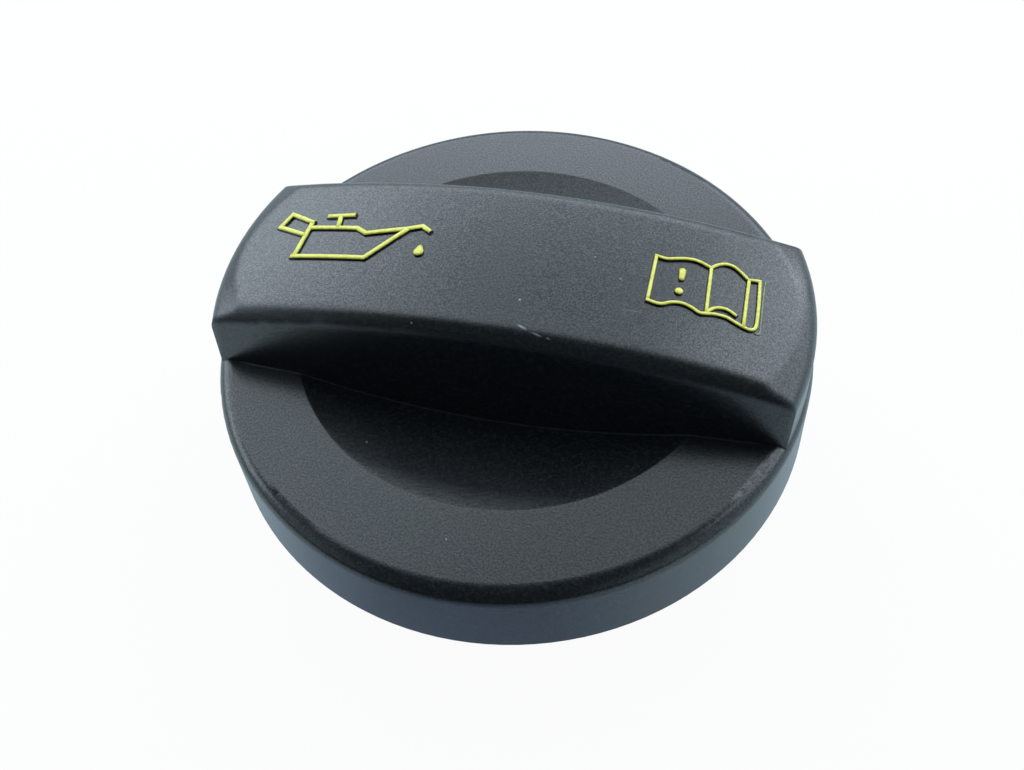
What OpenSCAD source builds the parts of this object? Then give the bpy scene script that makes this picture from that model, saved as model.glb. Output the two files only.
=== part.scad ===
// Quarter-turn oil filler cap: a dished cap with an arched grip bar across it,
// a bayonet insert held in its underside by snap hooks, and a rubber seal ring.
// The cap axis is Z, the grip bar runs along X, and z = 0 is the flat bottom of the neck.

/* [Cap disc] */
// Diameter of the cap at the bottom edge of its skirt
cap_d = 72; // [70:1:90]
// Height of the rim above the bottom edge of the skirt
skirt_h = 10.2; // [9.6:0.2:14]
// Draft of the skirt, which narrows upwards, in degrees
skirt_draft = 5; // [1:0.5:7]
// Rounding of the rim
rim_r = 1.8; // [0.6:0.2:2.6]
// Wall thickness of the cap moulding
cap_wall = 2.2; // [1.6:0.1:2.4]
// Number of radial ribs between the skirt and the socket ring
skirt_ribs = 12; // [4:1:24]
// Thickness of every rib in the cap
rib_t = 1.2; // [0.8:0.1:1.6]

/* [Finger dish] */
// Diameter of the crease where the flat shoulder breaks into the dish
crease_d = 51.2; // [46:0.4:56]
// Depth of the dish at the cap axis, below the crease
dish_sink = 3.1; // [1.5:0.1:3.3]

/* [Grip bar] */
// Width of the bar across its top, between the faces produced to a sharp edge
bar_w = 21.8; // [16:0.2:26]
// Height of the crown above the rim, at the cap axis
bar_h = 10.8; // [8:0.2:16]
// Fall of the crown from the cap axis to the edge of the cap
bar_fall = 5; // [2:0.2:7]
// Draft of the long sides of the bar, in degrees
bar_draft = 10.5; // [5:0.5:18]
// Rounding of the long top edges
bar_edge_r = 1.8; // [0.6:0.2:3]
// Distance that the ends of the bar are set in from the face of the skirt
end_inset = 0.4; // [0.2:0.1:0.8]
// Rounding between the ends of the bar and its crown
bar_end_r = 2.2; // [1:0.2:3]
// Distance in from the end at which the crown starts to turn down
end_blend = 1.6; // [1.4:0.2:4]
// Number of cross ribs in the hollow of the bar
bar_ribs = 4; // [2:1:8]

/* [Bayonet neck] */
// Distance that the neck reaches below the bottom edge of the skirt
neck_drop = 14; // [12:0.5:20]
// Wall of the neck
neck_wall = 2.2; // [1.6:0.1:3]
// Thickness of the closed bottom of the neck
floor_t = 2.2; // [1.6:0.1:3]
// Thickness of the flange that sits in the cap
flange_t = 2.2; // [1.6:0.1:2.4]
// Number of bayonet lugs
lug_count = 3; // [2:1:4]
// Sweep of a lug round the neck, in degrees
lug_sweep = 42; // [30:1:50]
// Distance that a lug stands out from the neck
lug_reach = 3; // [2:0.2:3.6]
// Radial clearance between the lugs and the bore of the sealing land
lug_gap = 1; // [0.6:0.1:1.6]
// Height of a lug at its locking end
lug_h = 4; // [3:0.2:5]
// Height of the underside of the lugs above the bottom of the neck
lug_lift = 2; // [1:0.2:2.8]
// Fall of the ramp on top of a lug, from its locking end to its lead-in end
ramp_fall = 1.4; // [0.6:0.1:1.8]
// Thickness of the two webs that cross inside the neck
web_t = 1.4; // [1:0.1:2]

/* [Seal ring] */
// Width of the thick sealing land
land_w = 5; // [4:0.2:6]
// Thickness of the sealing land
seal_t = 2.8; // [2.2:0.1:2.8]
// Thickness of the inner web that grips the neck
grip_t = 1.4; // [1:0.1:1.6]
// Rounding of the edges of the sealing land
seal_r = 0.5; // [0.2:0.1:0.8]

/* [Snap fit] */
// Distance from the bottom edge of the skirt in to the socket ring
ring_inset = 6; // [5.6:0.2:8]
// Radial clearance between the flange and the socket ring
fit_gap = 0.2; // [0.1:0.05:0.3]
// Wall of the socket ring that holds the flange
ring_wall = 1.8; // [1.4:0.1:2.2]
// Distance that the flange stands out past the seal ring
flange_lip = 1.5; // [1:0.1:2.4]
// Distance that the snap hooks and the stop ledge reach in over the flange
hook_reach = 1; // [0.6:0.1:1.2]
// Height of a snap hook
hook_h = 1.2; // [0.8:0.1:1.4]
// Sweep of a snap hook, in degrees
hook_sweep = 18; // [10:1:30]
// Number of snap hooks, and of keys between them
hook_count = 4; // [3:1:6]
// Width of a key that turns the flange with the cap
key_w = 4; // [3:0.2:6]

/* [Hidden] */
$fn = 96;
moulded_black = [0.13, 0.14, 0.15];
insert_black = [0.08, 0.08, 0.09];
rubber_black = [0.04, 0.04, 0.045];

// Heights, from the bottom of the neck upwards
skirt_z = neck_drop;
rim_z = skirt_z + skirt_h;
crown_z = rim_z + bar_h;
// The ledge lies this far above the lowest point under the dish, and the insert hangs from it
ledge_rise = 0.5;
ledge_z = rim_z - dish_sink - cap_wall + ledge_rise;
flange_z = ledge_z - flange_t;
land_z = flange_z - seal_t;

// The skirt and the bar ends lie on cones round the cap axis
cap_r = cap_d / 2;
function skirt_r(z, inset) = cap_r - (z - skirt_z) * tan(skirt_draft) - inset / cos(skirt_draft);

// The shoulder is flat, and a large ball cuts the dish into it along the crease
crease_r = crease_d / 2;
dish_r = (crease_r * crease_r + dish_sink * dish_sink) / (2 * dish_sink);

// The crown is an arc in the plane of the bar, and its centre lies far below the cap
crown_r = (cap_r * cap_r + bar_fall * bar_fall) / (2 * bar_fall);
crown_slope = asin(cap_r / crown_r);
// The sweep runs past the cap by this share, and the blend at its ends is steeper by these degrees
sweep_past = 1.2;
end_steepen = 9;
end_slope = crown_slope + end_steepen;
// The crown's ends are measured from here, a little inside the skirt's edge
end_setback = 1.5;
// The sweep and the ends of the solid bar are rooted this far above the edge of the skirt
sweep_root = 6;
end_root = 4;

// From the skirt inwards, each piece keeps its clearance from the one outside it
ring_r = cap_r - ring_inset;
socket_r = ring_r - ring_wall;
flange_r = socket_r - fit_gap;
ledge_r = flange_r - hook_reach;
seal_outer_r = flange_r - flange_lip;
land_bore_r = seal_outer_r - land_w;
lug_r = land_bore_r - lug_gap;
neck_r = lug_r - lug_reach;
// The socket ring runs this far below its hooks
ring_past = 0.8;
ring_z = flange_z - hook_h - ring_past;
// Height of the cross ribs above the flange
rib_lift = 0.9;
// The radial ribs start this far above the skirt's edge and end this share of the roof below the rim
rib_setback = 2;
rib_bite = 0.7;
// Chamfer under a lug, and the sweep and rise of the stop at its locking end
lug_chamfer = 1;
stop_sweep = 7;
stop_rise = 1.8;
// Share of a lug's half width past its middle at which the ramp starts
ramp_share = 0.25;
// Rounding round the bottom of the neck
neck_edge_r = 1;
// Clearance between the neck and the bore of the seal ring as drawn
seal_gap = 0.1;
// The end walls of the bar are thicker than the rest, because its rounded end takes from them
end_extra = 0.4;
// Cuts run this far past the face that they open
past = 1;
// Each rounding stands this much proud of its two sides, so that it cuts them cleanly
round_proud = 0.004;
// Corners that only break a sharp moulded edge
break_r = 0.5;

function unit(v) = v / norm(v);
function half_angle(a, b) = acos(unit(a) * unit(b)) / 2;

// A polygon whose convex corners are rounded, each with its own radius, 0 for a sharp one
module rounded_polygon(points, radii) {
    n = len(points);
    to_last = [for (i = [0 : n - 1]) points[(i + n - 1) % n] - points[i]];
    to_next = [for (i = [0 : n - 1]) points[(i + 1) % n] - points[i]];
    function cut(i) = radii[i] / tan(half_angle(to_last[i], to_next[i]));
    polygon([
        for (i = [0 : n - 1])
            each radii[i] == 0
                ? [points[i]]
                : [points[i] + unit(to_last[i]) * cut(i), points[i] + unit(to_next[i]) * cut(i)]
    ]);
    for (i = [0 : n - 1])
        if (radii[i] > 0)
            translate(points[i] + unit(unit(to_last[i]) + unit(to_next[i]))
                * radii[i] / sin(half_angle(to_last[i], to_next[i])))
                circle(radii[i] + round_proud);
}

// The disc with its skirt, flat shoulder and dish, drawn in by inset from its outer faces
module disc_form(inset, bottom_z) {
    top_z = rim_z - inset;
    difference() {
        rotate_extrude()
            rounded_polygon(
                [
                    [0, bottom_z],
                    [skirt_r(bottom_z, inset), bottom_z],
                    [skirt_r(top_z, inset), top_z],
                    [0, top_z]
                ],
                [0, 0, max(rim_r - inset, break_r), 0]
            );
        translate([0, 0, rim_z - dish_sink + dish_r])
            rotate([90, 0, 0])
                sphere(dish_r + inset, $fn = 192);
    }
}

// The section of the bar swept along the arc of its crown
module bar_sweep(inset, depth) {
    top = crown_r - inset;
    half_top = bar_w / 2 - inset / cos(bar_draft) + inset * tan(bar_draft);
    half_foot = half_top + (depth - inset) * tan(bar_draft);
    foot = crown_r - depth;
    half_arc = crown_slope * sweep_past;
    translate([0, 0, crown_z - crown_r])
        rotate([90, 0, 0])
            rotate_extrude(start = 90 - half_arc, angle = 2 * half_arc, $fn = 480)
                rounded_polygon(
                    [[foot, half_foot], [foot, -half_foot], [top, -half_top], [top, half_top]],
                    [0, 0, max(bar_edge_r - inset, 0), max(bar_edge_r - inset, 0)]
                );
}

// The body of revolution that ends the bar just inside the face of the skirt
module bar_envelope(bottom_z) {
    corner_r = cap_r - end_setback;
    start_r = corner_r - end_blend;
    start_z = crown_z - crown_r + sqrt(crown_r * crown_r - start_r * start_r);
    corner_z = start_z - end_blend * tan(end_slope);
    rotate_extrude()
        rounded_polygon(
            [
                [0, bottom_z],
                [skirt_r(bottom_z, end_inset), bottom_z],
                [skirt_r(corner_z, end_inset), corner_z],
                [0, corner_z + skirt_r(corner_z, end_inset) * tan(end_slope)]
            ],
            [0, 0, bar_end_r, 0]
        );
}

// The solid bar, rooted in the roof of the disc
module bar_form() {
    intersection() {
        bar_sweep(0, crown_z - skirt_z - sweep_root);
        bar_envelope(skirt_z + end_root);
    }
}

// What lies inside the bar's walls when they are drawn in by inset
module bar_core(inset, depth, bottom_z) {
    height = crown_z - bottom_z;
    intersection() {
        bar_sweep(inset, depth);
        translate([0, 0, bottom_z])
            cylinder(
                h = height,
                r1 = skirt_r(bottom_z, inset + end_extra),
                r2 = skirt_r(crown_z, inset + end_extra)
            );
    }
}

// Cross ribs that stiffen the hollow bar and end just above the flange
module bar_rib_set() {
    pitch = 2 * ring_r / (bar_ribs + 1);
    foot_z = ledge_z + rib_lift;
    intersection() {
        for (i = [1 : bar_ribs])
            translate([i * pitch - ring_r - rib_t / 2, -cap_r, foot_z])
                cube([rib_t, cap_d, crown_z - foot_z]);
        bar_core(cap_wall / 2, crown_z - skirt_z, skirt_z);
    }
}

// Radial ribs that tie the skirt to the socket ring, set back from the skirt's edge
module skirt_rib_set() {
    low_z = skirt_z + rib_setback;
    high_z = rim_z - cap_wall * rib_bite;
    for (i = [0 : skirt_ribs - 1])
        rotate([90, 0, (i + 0.5) * 360 / skirt_ribs])
            translate([0, 0, -rib_t / 2])
                linear_extrude(rib_t)
                    polygon([
                        [ring_r - ring_wall / 2, ring_z + break_r],
                        [skirt_r(low_z, cap_wall / 2), low_z],
                        [skirt_r(high_z, cap_wall / 2), high_z],
                        [ring_r - ring_wall / 2, high_z]
                    ]);
}

// The ring under the roof that takes the flange, with a ledge that stops it
module socket_ring() {
    high_z = rim_z - cap_wall / 2;
    rotate_extrude()
        polygon([
            [socket_r, ring_z],
            [ring_r, ring_z],
            [ring_r, high_z],
            [ledge_r, high_z],
            [ledge_r, ledge_z],
            [socket_r, ledge_z]
        ]);
}

// Snap hooks under the flange: flat on top, and sloped below so that the flange springs them open
module hook_set() {
    for (i = [0 : hook_count - 1])
        rotate(i * 360 / hook_count)
            rotate_extrude(start = -hook_sweep / 2, angle = hook_sweep)
                polygon([
                    [socket_r + ring_wall / 2, flange_z],
                    [flange_r - hook_reach, flange_z],
                    [flange_r - hook_reach, flange_z - break_r],
                    [socket_r, flange_z - hook_h],
                    [socket_r + ring_wall / 2, flange_z - hook_h]
                ]);
}

// A block that stands in from the socket ring, or the slot for it when grown by gap
module key(gap) {
    inner_r = flange_r - hook_reach - gap;
    translate([inner_r, -key_w / 2 - gap, ring_z + break_r])
        cube([socket_r + ring_wall / 2 - inner_r, key_w + 2 * gap, ledge_z - ring_z]);
}

module key_set(gap) {
    for (i = [0 : hook_count - 1])
        rotate((i + 0.5) * 360 / hook_count) key(gap);
}

module grip_cap() {
    color(moulded_black) {
        difference() {
            union() {
                disc_form(0, skirt_z);
                bar_form();
            }
            disc_form(cap_wall, skirt_z - past);
            bar_core(cap_wall, crown_z - skirt_z, skirt_z);
        }
        socket_ring();
        skirt_rib_set();
        bar_rib_set();
        hook_set();
        key_set(0);
    }
}

// One lug, centred on +X: a stepped-in sector with a ramped top and a stop at its locking end
module lug() {
    top_z = lug_lift + lug_h;
    lead_y = lug_r * sin(lug_sweep / 2);
    lock_y = lead_y * ramp_share;
    root_r = neck_r - neck_wall / 2;
    difference() {
        rotate_extrude(start = -lug_sweep / 2, angle = lug_sweep)
            polygon([
                [root_r, lug_lift],
                [lug_r - lug_chamfer, lug_lift],
                [lug_r, lug_lift + lug_chamfer],
                [lug_r, top_z],
                [root_r, top_z]
            ]);
        translate([0, lock_y, top_z])
            rotate([atan(ramp_fall / (lock_y + lead_y)), 0, 0])
                translate([0, -2 * lug_r, 0])
                    cube([2 * lug_r, 2 * lug_r, lug_h]);
    }
    rotate_extrude(start = lug_sweep / 2 - stop_sweep, angle = stop_sweep)
        translate([root_r, top_z - break_r])
            square([lug_r - break_r - root_r, stop_rise + break_r]);
}

// Closed neck and flange in one moulding, open to the hollow of the cap
module bayonet_insert() {
    well_r = neck_r - neck_wall;
    color(insert_black) {
        difference() {
            rotate_extrude()
                rounded_polygon(
                    [
                        [0, 0],
                        [neck_r, 0],
                        [neck_r, flange_z + flange_t / 2],
                        [0, flange_z + flange_t / 2]
                    ],
                    [0, neck_edge_r, 0, 0]
                );
            translate([0, 0, floor_t]) cylinder(h = flange_z, r = well_r);
        }
        difference() {
            translate([0, 0, flange_z]) cylinder(h = flange_t, r = flange_r);
            translate([0, 0, flange_z - past]) cylinder(h = flange_t + 2 * past, r = well_r);
            key_set(fit_gap);
        }
        for (turn = [0, 90])
            rotate(turn)
                translate([-neck_r + neck_wall / 2, -web_t / 2, floor_t / 2])
                    cube([2 * neck_r - neck_wall, web_t, flange_z - floor_t / 2]);
        for (i = [0 : lug_count - 1])
            rotate(i * 360 / lug_count) lug();
    }
}

// A stepped ring: the thin web grips the neck, and the thick land meets the filler neck
module seal_ring() {
    color(rubber_black)
        rotate_extrude()
            rounded_polygon(
                [
                    [neck_r + seal_gap, flange_z - grip_t],
                    [land_bore_r, flange_z - grip_t],
                    [land_bore_r, land_z],
                    [seal_outer_r, land_z],
                    [seal_outer_r, flange_z],
                    [neck_r + seal_gap, flange_z]
                ],
                [0, 0, seal_r, seal_r, 0, 0]
            );
}

grip_cap();
bayonet_insert();
seal_ring();
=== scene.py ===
import bpy
import math
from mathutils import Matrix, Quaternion, Vector


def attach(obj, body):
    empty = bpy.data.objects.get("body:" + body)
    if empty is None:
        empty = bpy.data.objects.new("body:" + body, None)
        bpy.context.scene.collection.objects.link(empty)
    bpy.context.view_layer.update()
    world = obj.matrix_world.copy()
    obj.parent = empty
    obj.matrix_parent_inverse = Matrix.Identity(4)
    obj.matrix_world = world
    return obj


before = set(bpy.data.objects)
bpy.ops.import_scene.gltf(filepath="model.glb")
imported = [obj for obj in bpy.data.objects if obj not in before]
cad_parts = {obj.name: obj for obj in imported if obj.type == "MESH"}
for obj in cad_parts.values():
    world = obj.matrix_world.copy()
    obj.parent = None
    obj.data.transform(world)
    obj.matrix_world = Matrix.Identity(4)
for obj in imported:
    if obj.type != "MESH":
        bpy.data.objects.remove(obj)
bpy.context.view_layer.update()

scene = bpy.context.scene
scene.view_settings.view_transform = "Standard"

# The camera of the photo: 54 degrees up and close to the cap, standing a little to the right of
# square on to the grip bar, and turned about its own axis so that the bar falls to the right.
aim = Vector((0.0, 0.0, 0.014))
turn = math.radians(17.0)
climb = math.radians(54.0)
back = Vector((math.sin(turn) * math.cos(climb), -math.cos(turn) * math.cos(climb), math.sin(climb)))
lens = bpy.data.cameras.new("photo camera")
lens.sensor_width = 36.0
lens.lens = 30.66
lens.shift_x = -0.0045
lens.shift_y = -0.0177
lens.clip_start = 0.005
lens.clip_end = 20.0
camera = bpy.data.objects.new("photo camera", lens)
camera.rotation_mode = "QUATERNION"
camera.location = aim + back * 0.11254
camera.rotation_quaternion = (-back).to_track_quat("-Z", "Y") @ Quaternion((0, 0, 1), math.radians(-5.33))
scene.collection.objects.link(camera)
scene.camera = camera

# The studio light: a bright wide soft box low over the back of the table, a dimmer one above it, and
# smaller ones on both sides. All of them are a little bluer than the white table.
for name, width, height, place, energy in [
    ("back soft box", 0.90, 0.17, (-0.05, 0.34, 0.24), 1.45),
    ("upper soft box", 0.80, 0.24, (-0.04, 0.19, 0.38), 0.74),
    ("high left soft box", 0.25, 0.25, (-0.224, 0.14, 0.334), 0.10),
    ("right soft box", 0.35, 0.35, (0.29, 0.16, 0.25), 0.62),
    ("left soft box", 0.30, 0.20, (-0.39, 0.02, 0.19), 0.40),
]:
    panel = bpy.data.lights.new(name, "AREA")
    panel.shape = "RECTANGLE"
    panel.size = width
    panel.size_y = height
    panel.energy = energy
    panel.color = (0.80, 0.91, 1.0)
    soft_box = bpy.data.objects.new(name, panel)
    soft_box.location = place
    soft_box.rotation_mode = "QUATERNION"
    soft_box.rotation_quaternion = (Vector((0, 0, 0.02)) - soft_box.location).to_track_quat("-Z", "Y")
    soft_box.visible_camera = False
    scene.collection.objects.link(soft_box)

# The room: dark behind the camera, and lighter to both sides and low down at the back, where the
# white backdrop rises. The camera itself sees plain white there.
room = bpy.data.worlds.new("room")
scene.world = room
room.use_nodes = True
tree = room.node_tree
tree.nodes.clear()
place = tree.nodes.new("ShaderNodeTexCoord")
split = tree.nodes.new("ShaderNodeSeparateXYZ")
sideways = tree.nodes.new("ShaderNodeMath")
sideways.operation = "ABSOLUTE"
to_side = tree.nodes.new("ShaderNodeMapRange")
to_side.inputs["From Min"].default_value = 0.45
to_side.inputs["From Max"].default_value = 0.95
to_side.inputs["To Min"].default_value = 0.10
to_side.inputs["To Max"].default_value = 0.85
low = tree.nodes.new("ShaderNodeMapRange")
low.inputs["From Min"].default_value = 0.40
low.inputs["From Max"].default_value = 0.05
behind = tree.nodes.new("ShaderNodeMapRange")
behind.inputs["From Min"].default_value = -0.2
behind.inputs["From Max"].default_value = 0.4
backdrop = tree.nodes.new("ShaderNodeMath")
backdrop.operation = "MULTIPLY"
both = tree.nodes.new("ShaderNodeMath")
both.operation = "MAXIMUM"
room_light = tree.nodes.new("ShaderNodeBackground")
room_light.inputs["Color"].default_value = (0.72, 0.88, 1.0, 1)
white = tree.nodes.new("ShaderNodeBackground")
white.inputs["Color"].default_value = (1, 1, 1, 1)
white.inputs["Strength"].default_value = 1.0
seen = tree.nodes.new("ShaderNodeLightPath")
mix = tree.nodes.new("ShaderNodeMixShader")
out = tree.nodes.new("ShaderNodeOutputWorld")
tree.links.new(place.outputs["Generated"], split.inputs["Vector"])
tree.links.new(split.outputs["X"], sideways.inputs[0])
tree.links.new(sideways.outputs["Value"], to_side.inputs["Value"])
tree.links.new(split.outputs["Z"], low.inputs["Value"])
tree.links.new(split.outputs["Y"], behind.inputs["Value"])
tree.links.new(low.outputs["Result"], backdrop.inputs[0])
tree.links.new(behind.outputs["Result"], backdrop.inputs[1])
tree.links.new(backdrop.outputs["Value"], both.inputs[0])
tree.links.new(to_side.outputs["Result"], both.inputs[1])
tree.links.new(both.outputs["Value"], room_light.inputs["Strength"])
tree.links.new(seen.outputs["Is Camera Ray"], mix.inputs["Fac"])
tree.links.new(room_light.outputs["Background"], mix.inputs[1])
tree.links.new(white.outputs["Background"], mix.inputs[2])
tree.links.new(mix.outputs["Shader"], out.inputs["Surface"])

# The table: a plain white sheet that the cap stands on, a hair below the neck so that the two faces
# don't share a plane. It shows the cap's soft shadow. What the cap mirrors of it is a painted reflection.
bpy.ops.mesh.primitive_plane_add(size=4.0, location=(0, 0, -0.00005))
table = bpy.context.object
table.name = "white_table"
sheet = bpy.data.materials.new("white sheet")
sheet.use_nodes = True
tree = sheet.node_tree
tree.nodes.clear()
paper = tree.nodes.new("ShaderNodeBsdfDiffuse")
paper.inputs["Color"].default_value = (0.84, 0.84, 0.84, 1)
glow = tree.nodes.new("ShaderNodeEmission")
glow.inputs["Strength"].default_value = 1.0
place = tree.nodes.new("ShaderNodeTexCoord")
split = tree.nodes.new("ShaderNodeSeparateXYZ")
sideways = tree.nodes.new("ShaderNodeMath")
sideways.operation = "ABSOLUTE"
shade = tree.nodes.new("ShaderNodeMapRange")
shade.inputs["From Min"].default_value = 0.015
shade.inputs["From Max"].default_value = 0.06
past_cap = tree.nodes.new("ShaderNodeMapRange")
past_cap.inputs["From Min"].default_value = 0.0
past_cap.inputs["From Max"].default_value = 0.03
brighter = tree.nodes.new("ShaderNodeMath")
brighter.operation = "MAXIMUM"
# Painted reflection: the sheet as the cap mirrors it, darker straight in front of the cap, lighter and bluer
# to the sides and behind
mirrored = tree.nodes.new("ShaderNodeMix")
mirrored.data_type = "RGBA"
mirrored.inputs["A"].default_value = (0.28, 0.38, 0.52, 1)
mirrored.inputs["B"].default_value = (0.66, 0.86, 0.93, 1)
# Painted reflection: further in front of the cap the mirrored sheet turns almost black
to_front = tree.nodes.new("ShaderNodeMapRange")
to_front.inputs["From Min"].default_value = -0.12
to_front.inputs["From Max"].default_value = -0.07
far = tree.nodes.new("ShaderNodeMix")
far.data_type = "RGBA"
far.inputs["A"].default_value = (0.03, 0.04, 0.06, 1)
shown = tree.nodes.new("ShaderNodeMix")
shown.data_type = "RGBA"
shown.inputs["B"].default_value = (1, 1, 1, 1)
seen = tree.nodes.new("ShaderNodeLightPath")
either = tree.nodes.new("ShaderNodeMath")
either.operation = "MAXIMUM"
share = tree.nodes.new("ShaderNodeMath")
share.operation = "MULTIPLY"
share.inputs[1].default_value = 0.95
blend = tree.nodes.new("ShaderNodeMixShader")
out = tree.nodes.new("ShaderNodeOutputMaterial")
tree.links.new(place.outputs["Object"], split.inputs["Vector"])
tree.links.new(split.outputs["X"], sideways.inputs[0])
tree.links.new(sideways.outputs["Value"], shade.inputs["Value"])
tree.links.new(split.outputs["Y"], past_cap.inputs["Value"])
tree.links.new(shade.outputs["Result"], brighter.inputs[0])
tree.links.new(past_cap.outputs["Result"], brighter.inputs[1])
tree.links.new(brighter.outputs["Value"], mirrored.inputs["Factor"])
tree.links.new(split.outputs["Y"], to_front.inputs["Value"])
tree.links.new(to_front.outputs["Result"], far.inputs["Factor"])
tree.links.new(mirrored.outputs["Result"], far.inputs["B"])
tree.links.new(far.outputs["Result"], shown.inputs["A"])
tree.links.new(seen.outputs["Is Camera Ray"], shown.inputs["Factor"])
tree.links.new(shown.outputs["Result"], glow.inputs["Color"])
tree.links.new(seen.outputs["Is Camera Ray"], either.inputs[0])
tree.links.new(seen.outputs["Is Glossy Ray"], either.inputs[1])
tree.links.new(either.outputs["Value"], share.inputs[0])
tree.links.new(share.outputs["Value"], blend.inputs["Fac"])
tree.links.new(paper.outputs["BSDF"], blend.inputs[1])
tree.links.new(glow.outputs["Emission"], blend.inputs[2])
tree.links.new(blend.outputs["Shader"], out.inputs["Surface"])
table.data.materials.append(sheet)

# The cap: one moulding in black glass-filled nylon. Its faces carry the fine grain of a
# spark-eroded mould, with a few light specks, a scuff on the bar's front edge and finger marks.
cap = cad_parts["grip_cap"]
# Sizes in m: radii from the cap's axis, heights above the foot of the neck, and how soft edges look
crease_r = 0.0256
dish_edge_z = 0.0243
tilt_start_r = 0.010
tilt_full_r = 0.0254
tilt_per_metre = 2.2
bar_foot_z = 0.0246
bar_side_z = 0.0262
foot_r = 0.0315
foot_fade_r = 0.0325
bar_edge_softness = 0.0013
foot_softness = 0.0003
moulding = bpy.data.materials.new("grained black nylon")
moulding.use_nodes = True
tree = moulding.node_tree
nodes = tree.nodes
link = tree.links.new
nylon = nodes["Principled BSDF"]
spot = nodes.new("ShaderNodeTexCoord")
grain = nodes.new("ShaderNodeTexNoise")
grain.inputs["Scale"].default_value = 5000.0
grain.inputs["Detail"].default_value = 2.0
grain.inputs["Roughness"].default_value = 0.65
link(spot.outputs["Object"], grain.inputs["Vector"])
pits = nodes.new("ShaderNodeTexVoronoi")
pits.inputs["Scale"].default_value = 4400.0
link(spot.outputs["Object"], pits.inputs["Vector"])
relief = nodes.new("ShaderNodeMath")
relief.operation = "ADD"
link(grain.outputs["Fac"], relief.inputs[0])
link(pits.outputs["Distance"], relief.inputs[1])
bump = nodes.new("ShaderNodeBump")
bump.inputs["Strength"].default_value = 0.15
bump.inputs["Distance"].default_value = 0.00004
link(relief.outputs["Value"], bump.inputs["Height"])
# The shading rounds the bar's edges further, and the bar's foot a little, but not the rim
soft_edges = nodes.new("ShaderNodeBevel")
soft_edges.samples = 6
above = nodes.new("ShaderNodeSeparateXYZ")
link(spot.outputs["Object"], above.inputs["Vector"])
softer = nodes.new("ShaderNodeMapRange")
softer.inputs["From Min"].default_value = bar_foot_z
softer.inputs["From Max"].default_value = bar_side_z
softer.inputs["To Min"].default_value = 0.0
softer.inputs["To Max"].default_value = bar_edge_softness
link(above.outputs["Z"], softer.inputs["Value"])
across = nodes.new("ShaderNodeVectorMath")
across.operation = "MULTIPLY"
across.inputs[1].default_value = (1, 1, 0)
link(spot.outputs["Object"], across.inputs[0])
reach = nodes.new("ShaderNodeVectorMath")
reach.operation = "LENGTH"
link(across.outputs["Vector"], reach.inputs[0])
at_foot = nodes.new("ShaderNodeMapRange")
at_foot.inputs["From Min"].default_value = foot_fade_r
at_foot.inputs["From Max"].default_value = foot_r
at_foot.inputs["To Max"].default_value = foot_softness
link(reach.outputs["Value"], at_foot.inputs["Value"])
wider = nodes.new("ShaderNodeMath")
wider.operation = "MAXIMUM"
link(softer.outputs["Result"], wider.inputs[0])
link(at_foot.outputs["Result"], wider.inputs[1])
link(wider.outputs["Value"], soft_edges.inputs["Radius"])
# The shading of the finger dish tilts up a little near its crease, where the solid is a plain sphere
turning = nodes.new("ShaderNodeMapRange")
turning.inputs["From Min"].default_value = tilt_start_r
turning.inputs["From Max"].default_value = tilt_full_r
turning.inputs["To Max"].default_value = -tilt_per_metre
link(reach.outputs["Value"], turning.inputs["Value"])
in_dish = nodes.new("ShaderNodeMath")
in_dish.operation = "LESS_THAN"
in_dish.inputs[1].default_value = crease_r
link(reach.outputs["Value"], in_dish.inputs[0])
below_rim = nodes.new("ShaderNodeMath")
below_rim.operation = "LESS_THAN"
below_rim.inputs[1].default_value = dish_edge_z
link(above.outputs["Z"], below_rim.inputs[0])
inside = nodes.new("ShaderNodeMath")
inside.operation = "MULTIPLY"
link(in_dish.outputs["Value"], inside.inputs[0])
link(below_rim.outputs["Value"], inside.inputs[1])
amount = nodes.new("ShaderNodeMath")
amount.operation = "MULTIPLY"
link(turning.outputs["Result"], amount.inputs[0])
link(inside.outputs["Value"], amount.inputs[1])
inward = nodes.new("ShaderNodeVectorMath")
inward.operation = "SCALE"
link(across.outputs["Vector"], inward.inputs[0])
link(amount.outputs["Value"], inward.inputs["Scale"])
steeper = nodes.new("ShaderNodeVectorMath")
steeper.operation = "ADD"
link(soft_edges.outputs["Normal"], steeper.inputs[0])
link(inward.outputs["Vector"], steeper.inputs[1])
unit = nodes.new("ShaderNodeVectorMath")
unit.operation = "NORMALIZE"
link(steeper.outputs["Vector"], unit.inputs[0])
link(unit.outputs["Vector"], bump.inputs["Normal"])
link(bump.outputs["Normal"], nylon.inputs["Normal"])
# Handling leaves broad patches a little smoother than the rest
patches = nodes.new("ShaderNodeTexNoise")
patches.inputs["Scale"].default_value = 90.0
patches.inputs["Detail"].default_value = 4.0
link(spot.outputs["Object"], patches.inputs["Vector"])
polish = nodes.new("ShaderNodeMapRange")
polish.inputs["From Min"].default_value = 0.3
polish.inputs["From Max"].default_value = 0.7
polish.inputs["To Min"].default_value = 0.23
polish.inputs["To Max"].default_value = 0.27
link(patches.outputs["Fac"], polish.inputs["Value"])
link(polish.outputs["Result"], nylon.inputs["Roughness"])
# The glass filling gives the black a mottled look
mottle = nodes.new("ShaderNodeMix")
mottle.data_type = "RGBA"
mottle.inputs["A"].default_value = (0.0010, 0.0022, 0.0036, 1)
mottle.inputs["B"].default_value = (0.0070, 0.0092, 0.0118, 1)
link(grain.outputs["Fac"], mottle.inputs["Factor"])
glint = nodes.new("ShaderNodeMapRange")
glint.inputs["From Min"].default_value = 0.38
glint.inputs["From Max"].default_value = 0.62
glint.inputs["To Min"].default_value = 0.52
glint.inputs["To Max"].default_value = 1.0
link(grain.outputs["Fac"], glint.inputs["Value"])
link(glint.outputs["Result"], nylon.inputs["Specular IOR Level"])


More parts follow.
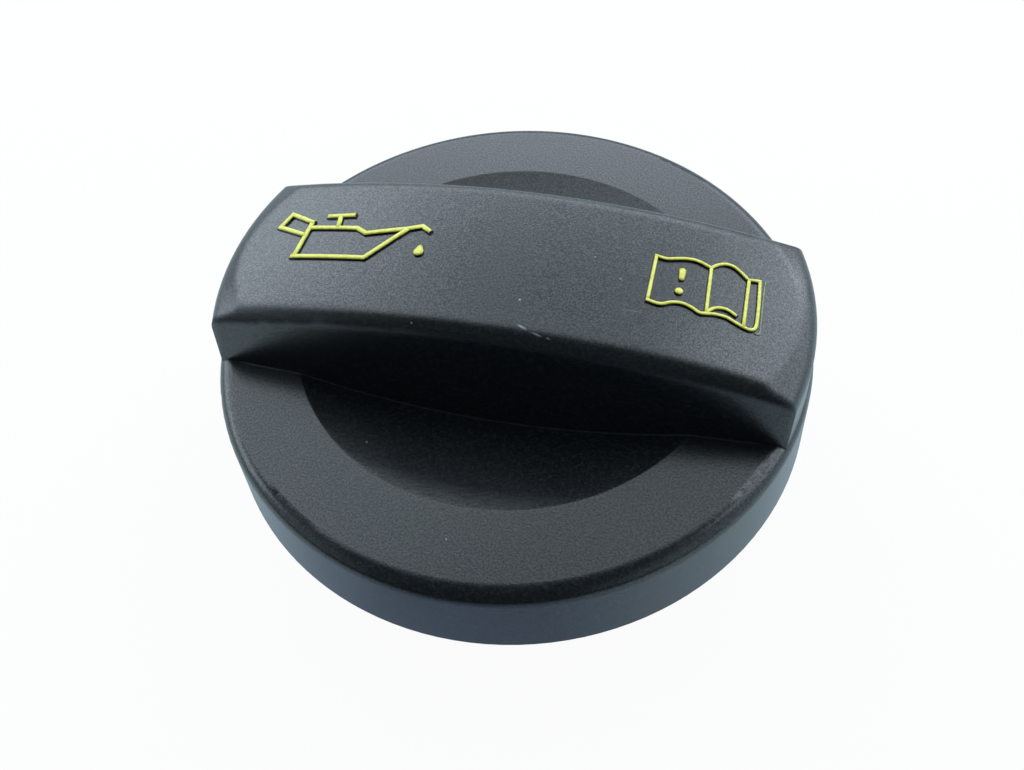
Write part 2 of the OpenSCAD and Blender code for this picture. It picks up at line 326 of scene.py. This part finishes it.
def stroke(x, y, angle, length, width, strength):
    """How far a short scuff marks a place: 1 in its middle, 0 outside it. Sizes are in mm."""
    local = nodes.new("ShaderNodeMapping")
    local.vector_type = "TEXTURE"
    local.inputs["Location"].default_value = (x / 1000, y / 1000, 0)
    local.inputs["Rotation"].default_value = (0, 0, math.radians(angle))
    local.inputs["Scale"].default_value = (length / 2000, width / 2000, 1)
    link(spot.outputs["Object"], local.inputs["Vector"])
    flat = nodes.new("ShaderNodeVectorMath")
    flat.operation = "MULTIPLY"
    flat.inputs[1].default_value = (1, 1, 0)
    link(local.outputs["Vector"], flat.inputs[0])
    size = nodes.new("ShaderNodeVectorMath")
    size.operation = "LENGTH"
    link(flat.outputs["Vector"], size.inputs[0])
    fade = nodes.new("ShaderNodeMapRange")
    fade.inputs["From Min"].default_value = 1.0
    fade.inputs["From Max"].default_value = 0.3
    fade.inputs["To Max"].default_value = strength
    link(size.outputs["Value"], fade.inputs["Value"])
    return fade.outputs["Result"]


# Three short scuffs on the bar's front edge, a faint one on its crown, and scattered light specks
scuffs = [
    stroke(3.85, -9.5, -20, 1.5, 0.34, 0.85),
    stroke(5.5, -10.07, -13, 1.5, 0.26, 0.6),
    stroke(6.75, -10.26, -13, 0.5, 0.2, 0.5),
    stroke(14.6, -4.8, 5, 2.8, 0.2, 0.22),
    stroke(2.86, -6.0, 0, 0.34, 0.34, 1.0),
]
worn = scuffs[0]
for scuff in scuffs[1:]:
    more = nodes.new("ShaderNodeMath")
    more.operation = "MAXIMUM"
    link(worn, more.inputs[0])
    link(scuff, more.inputs[1])
    worn = more.outputs["Value"]
specks = nodes.new("ShaderNodeTexVoronoi")
specks.inputs["Scale"].default_value = 190.0
link(spot.outputs["Object"], specks.inputs["Vector"])
speck = nodes.new("ShaderNodeMapRange")
speck.inputs["From Min"].default_value = 0.030
speck.inputs["From Max"].default_value = 0.014
speck.inputs["To Max"].default_value = 0.55
link(specks.outputs["Distance"], speck.inputs["Value"])
more = nodes.new("ShaderNodeMath")
more.operation = "MAXIMUM"
link(worn, more.inputs[0])
link(speck.outputs["Result"], more.inputs[1])
# Painted glints: single grains of the mould's finish are lightened in the base colour, as if they caught the
# light
cell = nodes.new("ShaderNodeSeparateColor")
link(pits.outputs["Color"], cell.inputs["Color"])
spark = nodes.new("ShaderNodeMapRange")
spark.inputs["From Min"].default_value = 0.6
spark.inputs["From Max"].default_value = 1.0
spark.inputs["To Max"].default_value = 0.04
link(cell.outputs["Red"], spark.inputs["Value"])
most = nodes.new("ShaderNodeMath")
most.operation = "MAXIMUM"
link(more.outputs["Value"], most.inputs[0])
link(spark.outputs["Result"], most.inputs[1])
tint = nodes.new("ShaderNodeMix")
tint.data_type = "RGBA"
tint.inputs["B"].default_value = (0.30, 0.31, 0.29, 1)
link(most.outputs["Value"], tint.inputs["Factor"])
link(mottle.outputs["Result"], tint.inputs["A"])
link(tint.outputs["Result"], nylon.inputs["Base Color"])
cap.data.materials.clear()
cap.data.materials.append(moulding)

# The bayonet insert: a second black moulding, smoother and without grain, held under the cap by
# its snap hooks.
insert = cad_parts["bayonet_insert"]
plain = bpy.data.materials.new("plain black nylon")
plain.use_nodes = True
tree = plain.node_tree
nodes = tree.nodes
link = tree.links.new
nylon = nodes["Principled BSDF"]
nylon.inputs["Base Color"].default_value = (0.020, 0.020, 0.023, 1)
spot = nodes.new("ShaderNodeTexCoord")
flow = nodes.new("ShaderNodeTexNoise")
flow.inputs["Scale"].default_value = 240.0
flow.inputs["Detail"].default_value = 5.0
link(spot.outputs["Object"], flow.inputs["Vector"])
sheen = nodes.new("ShaderNodeMapRange")
sheen.inputs["To Min"].default_value = 0.30
sheen.inputs["To Max"].default_value = 0.46
link(flow.outputs["Fac"], sheen.inputs["Value"])
link(sheen.outputs["Result"], nylon.inputs["Roughness"])
bump = nodes.new("ShaderNodeBump")
bump.inputs["Strength"].default_value = 0.15
bump.inputs["Distance"].default_value = 0.00005
link(flow.outputs["Fac"], bump.inputs["Height"])
link(bump.outputs["Normal"], nylon.inputs["Normal"])
insert.data.materials.clear()
insert.data.materials.append(plain)

# The seal: a ring of black rubber pushed over the neck up to the flange, dull and slightly dusty.
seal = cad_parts["seal_ring"]
rubber = bpy.data.materials.new("black rubber")
rubber.use_nodes = True
tree = rubber.node_tree
nodes = tree.nodes
link = tree.links.new
skin = nodes["Principled BSDF"]
spot = nodes.new("ShaderNodeTexCoord")
dust = nodes.new("ShaderNodeTexNoise")
dust.inputs["Scale"].default_value = 700.0
dust.inputs["Detail"].default_value = 6.0
link(spot.outputs["Object"], dust.inputs["Vector"])
tone = nodes.new("ShaderNodeMix")
tone.data_type = "RGBA"
tone.inputs["A"].default_value = (0.014, 0.014, 0.015, 1)
tone.inputs["B"].default_value = (0.032, 0.031, 0.030, 1)
link(dust.outputs["Fac"], tone.inputs["Factor"])
link(tone.outputs["Result"], skin.inputs["Base Color"])
dullness = nodes.new("ShaderNodeMapRange")
dullness.inputs["To Min"].default_value = 0.55
dullness.inputs["To Max"].default_value = 0.75
link(dust.outputs["Fac"], dullness.inputs["Value"])
link(dullness.outputs["Result"], skin.inputs["Roughness"])
bump = nodes.new("ShaderNodeBump")
bump.inputs["Strength"].default_value = 0.2
bump.inputs["Distance"].default_value = 0.00005
link(dust.outputs["Fac"], bump.inputs["Height"])
link(bump.outputs["Normal"], skin.inputs["Normal"])
seal.data.materials.clear()
seal.data.materials.append(rubber)

# The raised symbols: narrow ridges moulded on the crown of the bar, an oil can with a drop on the
# left and an open book with an exclamation mark on the right, hot-stamped yellow on their tops.
# Sizes in mm. The crown is an arc that falls from the cap's axis to its edge, as in the part's source
crown_top = 35.0
cap_r = 36.0
bar_fall = 5.0
crown_r = (cap_r * cap_r + bar_fall * bar_fall) / (2 * bar_fall)
ridge_rise = 0.3
ridge_sink = 0.15
can_w = 0.56
book_w = 0.35
trace_w = 0.16
trace_rise = 0.07
drop_r = 0.58
drop_tail = 0.45
dot_r = 0.45
# Each line is its points in mm, and whether it runs through them in curves
oil_can = [
    ([(-24.9, -2.42), (-15.9, -2.42), (-12.2, 2.17)], False),
    ([(-24.7, -2.42), (-24.38, 3.09)], False),
    ([(-24.4, 2.2), (-18.3, 2.17), (-16.95, 1.39), (-12.25, 2.34), (-10.45, 2.9),
      (-9.45, 2.22)], False),
    ([(-24.7, 1.03), (-28.45, 2.37), (-27.6, 4.52), (-24.35, 3.09)], False),
    ([(-22.5, 4.06), (-19.4, 4.26)], False),
    ([(-21.0, 3.97), (-20.8, 2.4)], False),
]
open_book = [
    ([(16.1, 3.38), (17.2, 3.25), (18.25, 3.56), (19.4, 3.89), (20.6, 3.92), (22.13, 3.41)], True),
    ([(22.13, 3.41), (22.7, 4.0), (23.6, 4.45), (24.6, 4.35), (25.55, 3.67), (26.25, 3.03)], True),
    ([(16.1, 3.38), (15.94, -3.05)], False),
    ([(15.94, -3.05), (16.7, -3.2), (17.45, -3.18), (18.5, -2.64), (19.5, -2.47), (20.55, -2.72),
      (21.45, -3.18), (22.15, -3.08)], True),
    ([(22.13, 3.41), (22.15, -3.05)], False),
    ([(22.15, -3.08), (23.15, -2.88), (24.3, -2.91), (25.2, -3.26), (26.1, -3.6), (26.8, -3.74),
      (27.25, -3.55), (27.45, -3.05), (27.52, -2.0), (27.55, 0.2), (27.48, 3.26)], True),
    ([(26.25, 3.03), (27.48, 3.26)], False),
    ([(26.3, 3.03), (26.14, -3.55)], False),
    ([(22.15, -2.95), (22.8, -2.19), (23.5, -1.87), (24.35, -1.87), (25.25, -2.33)], True),
]
verts = []
faces = []
# Which finish each face has: 0 foil on top, painted paler as a highlight, 1 bare moulding,
# 2 foil on the flanks, painted deeper as shade, 3 the foil trace
tints = []


def on_crown(x, y, lift):
    """A point on the crown at x, y in mm, lifted off it, in metres."""
    z = crown_top - crown_r + math.sqrt(crown_r * crown_r - x * x)
    return (x / 1000, y / 1000, (z + lift) / 1000)


def fine_line(points, curved):
    """The points with more between them, along a smooth curve through them or straight."""
    fine = []
    for i in range(len(points) - 1):
        p1, p2 = Vector(points[i]), Vector(points[i + 1])
        p0 = Vector(points[i - 1]) if i else p1 + (p1 - p2)
        p3 = Vector(points[i + 2]) if i + 2 < len(points) else p2 + (p2 - p1)
        parts = max(1, round((p2 - p1).length / (0.22 if curved else 0.8)))
        for k in range(parts):
            t = k / parts
            if curved:
                bend = (p0 * -1 + p1 * 3 - p2 * 3 + p3) * t + (p0 * 2 - p1 * 5 + p2 * 4 - p3)
                fine.append(p1 + ((bend * t) + (p2 - p0)) * t * 0.5)
            else:
                fine.append(p1 + (p2 - p1) * t)
    fine.append(Vector(points[-1]))
    return fine


def ridge(points, curved, width, lift, top=0, flank=2):
    """One raised line along the points, wider at its foot than on top, with mitred corners."""
    line = fine_line(points, curved)
    section = [(0.66, -ridge_sink), (0.54, lift * 0.7), (0.36, lift)]
    rows = []
    for i, here in enumerate(line):
        a = here - line[i - 1] if i else line[1] - here
        b = line[i + 1] - here if i < len(line) - 1 else a
        a, b = a.normalized(), b.normalized()
        side = Vector((-(a + b).y, (a + b).x)).normalized()
        stretch = 1 / max(side.dot(Vector((-a.y, a.x))), 0.4)
        end = -a if i == 0 else (b if i == len(line) - 1 else Vector((0, 0)))
        left = [(here + side * width * half * stretch + end * width * half, high) for half, high in section]
        right = [(here - side * width * half * stretch + end * width * half, high) for half, high in section]
        rows.append(left + right[::-1])
    start = len(verts)
    for row in rows:
        verts.extend(on_crown(p.x, p.y, high) for p, high in row)
    for i in range(len(rows) - 1):
        p = start + 6 * i
        for k in range(6):
            n = (k + 1) % 6
            faces.append((p + k, p + 6 + k, p + 6 + n, p + n))
            tints.append(top if k == 2 else flank if k in (1, 3) else 1)
    last = start + 6 * (len(rows) - 1)
    faces.append(tuple(start + k for k in range(6)))
    faces.append(tuple(last + k for k in range(5, -1, -1)))
    tints.extend([1, 1])


def pad(outline, lift):
    """A raised spot with that outline, which narrows towards its top."""
    n = len(outline)
    centre = sum((Vector(p) for p in outline), Vector((0, 0))) / n
    start = len(verts)
    for grow, high in ((1.1, -ridge_sink), (1.0, lift * 0.7), (0.72, lift)):
        for p in outline:
            q = centre + (Vector(p) - centre) * grow
            verts.append(on_crown(q.x, q.y, high))
    for ring in range(2):
        for i in range(n):
            j = (i + 1) % n
            at = start + ring * n
            faces.append((at + i, at + j, at + n + j, at + n + i))
            tints.append(1 + ring)
    faces.append(tuple(range(start + 2 * n, start + 3 * n)))
    tints.append(0)
    faces.append(tuple(range(start + n - 1, start - 1, -1)))
    tints.append(1)


def rounded_bar(x, y0, y1, r0, r1):
    """The outline of an upright mark that runs from y0 up to y1 and widens from r0 to r1."""
    turns = [math.radians(18 * k) for k in range(11)]
    low = [(x + r0 * math.cos(a + math.pi), y0 + r0 * math.sin(a + math.pi)) for a in turns]
    high = [(x + r1 * math.cos(a), y1 + r1 * math.sin(a)) for a in turns]
    return low + high


for k, (points, curved) in enumerate(oil_can):
    ridge(points, curved, can_w, ridge_rise - 0.006 * (k % 3))
for k, (points, curved) in enumerate(open_book):
    ridge(points, curved, book_w, ridge_rise - 0.006 * (k % 3))
# A thin trace of foil beside the book, where the stamp slipped
foil_trace = [(28.09, 3.5), (28.0, 1.6), (27.95, -0.3), (27.9, -3.5), (27.75, -3.9), (27.4, -3.98)]
ridge(foil_trace, True, trace_w, trace_rise, 3, 3)
# The drop is round with a short tail
drop = []
for i in range(24):
    a = 2 * math.pi * i / 24
    radius = drop_r + drop_tail * max(0.0, math.sin(a)) ** 9
    drop.append((-9.82 + radius * math.cos(a), -1.02 + radius * math.sin(a)))
pad(drop, ridge_rise)
# The exclamation mark is an upright wedge over a round dot
pad(rounded_bar(19.12, 0.94, 2.02, 0.3, 0.38), ridge_rise)
dot = []
for i in range(20):
    a = math.pi * i / 10
    dot.append((19.04 + dot_r * math.cos(a), -0.91 + dot_r * math.sin(a)))
pad(dot, ridge_rise)
mesh = bpy.data.meshes.new("raised_symbols")
mesh.from_pydata(verts, [], faces)
symbols = bpy.data.objects.new("raised_symbols", mesh)
scene.collection.objects.link(symbols)


def stamped(name, worn_colour, full_colour):
    """A hot-stamped film, a little patchy, in those two colours."""
    foil = bpy.data.materials.new(name)
    foil.use_nodes = True
    nodes = foil.node_tree.nodes
    link = foil.node_tree.links.new
    film = nodes["Principled BSDF"]
    film.inputs["Roughness"].default_value = 0.45
    spot = nodes.new("ShaderNodeTexCoord")
    worn = nodes.new("ShaderNodeTexNoise")
    worn.inputs["Scale"].default_value = 2200.0
    worn.inputs["Detail"].default_value = 4.0
    link(spot.outputs["Object"], worn.inputs["Vector"])
    amount = nodes.new("ShaderNodeMapRange")
    amount.inputs["From Min"].default_value = 0.35
    amount.inputs["From Max"].default_value = 0.6
    link(worn.outputs["Fac"], amount.inputs["Value"])
    tone = nodes.new("ShaderNodeMix")
    tone.data_type = "RGBA"
    tone.inputs["A"].default_value = worn_colour
    tone.inputs["B"].default_value = full_colour
    link(amount.outputs["Result"], tone.inputs["Factor"])
    link(tone.outputs["Result"], film.inputs["Base Color"])
    bump = nodes.new("ShaderNodeBump")
    bump.inputs["Strength"].default_value = 0.2
    bump.inputs["Distance"].default_value = 0.00004
    link(worn.outputs["Fac"], bump.inputs["Height"])
    link(bump.outputs["Normal"], film.inputs["Normal"])
    return foil


# One yellow foil: painted paler on the tops as a highlight and deeper on the flanks as shade, each a little
# patchy
mesh.materials.append(stamped("yellow foil with painted highlight on top", (0.86, 0.81, 0.11, 1), (0.98, 0.94, 0.23, 1)))
mesh.materials.append(moulding)
mesh.materials.append(stamped("yellow foil with painted shade on flanks", (0.56, 0.53, 0.03, 1), (0.82, 0.78, 0.06, 1)))
mesh.materials.append(stamped("trace of foil", (0.14, 0.16, 0.10, 1), (0.40, 0.42, 0.26, 1)))
for face, tint in zip(mesh.polygons, tints):
    face.material_index = tint
    face.use_smooth = True
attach(symbols, "root")
